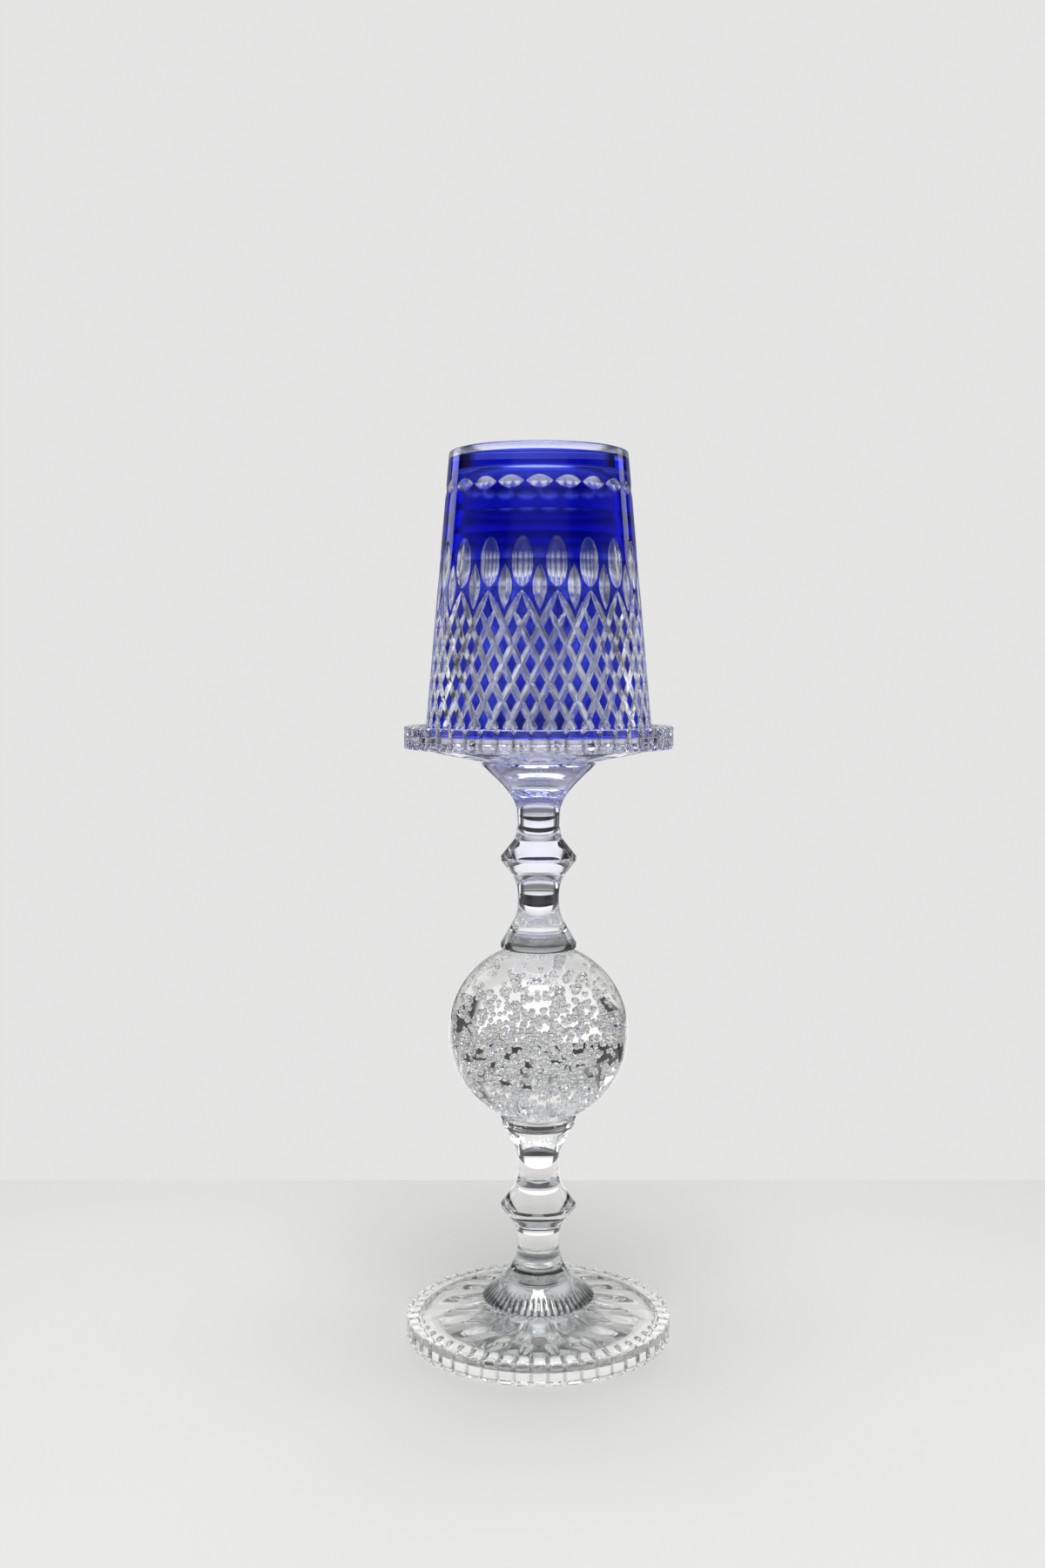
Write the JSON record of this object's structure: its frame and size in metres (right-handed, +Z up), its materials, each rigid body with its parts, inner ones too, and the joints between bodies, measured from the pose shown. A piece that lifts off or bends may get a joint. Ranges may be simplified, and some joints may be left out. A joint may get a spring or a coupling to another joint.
{
  "type": "candlestick",
  "caption": "Glass candlestick: toothed foot dish, turned stems either side of a bubble ball, and a gallery dish with a tealight under a lift-off cut-glass shade.",
  "frame": {"origin": "on the table, at the middle of the foot dish's toothed rim", "axes": "+Z up along the column; the piece is turned, so X and Y are alike, with a rim tooth centred on +X"},
  "size_m": [0.12, 0.12, 0.3972],
  "materials": {
    "crystal": "clear polished crystal, lightly green-grey in the thick rims",
    "bubble_crystal": "clear polished crystal, full of small air bubbles",
    "cased_glass": "clear glass cased in cobalt blue, the blue cut through to clear",
    "cured_bond": "clear cured glass adhesive",
    "foil": "bright drawn foil",
    "tinplate": "stamped tinplate",
    "paraffin": "white wax, slightly translucent",
    "cotton": "braided cotton, waxed"
  },
  "bodies": {
    "stand": {"foot_dish": "crystal", "foot_bond": "cured_bond", "lower_stem": "crystal", "lower_ball_bond": "cured_bond", "bubble_ball": "bubble_crystal", "upper_ball_bond": "cured_bond", "upper_stem": "crystal", "gallery_bond": "cured_bond", "gallery_dish": "crystal"},
    "tealight": {"tealight_cup": "foil", "wick_tab": "tinplate", "tealight_wax": "paraffin", "wick": "cotton"},
    "shade": {"shade": "cased_glass"}
  },
  "joints": [
    {"name": "shade_lift", "type": "slide", "parent": "stand", "child": "shade", "axis": [0, 0, 1], "range_m": [0, 0.12]},
    {"name": "tealight_lift", "type": "slide", "parent": "stand", "child": "tealight", "axis": [0, 0, 1], "range_m": [0, 0.06]}
  ]
}
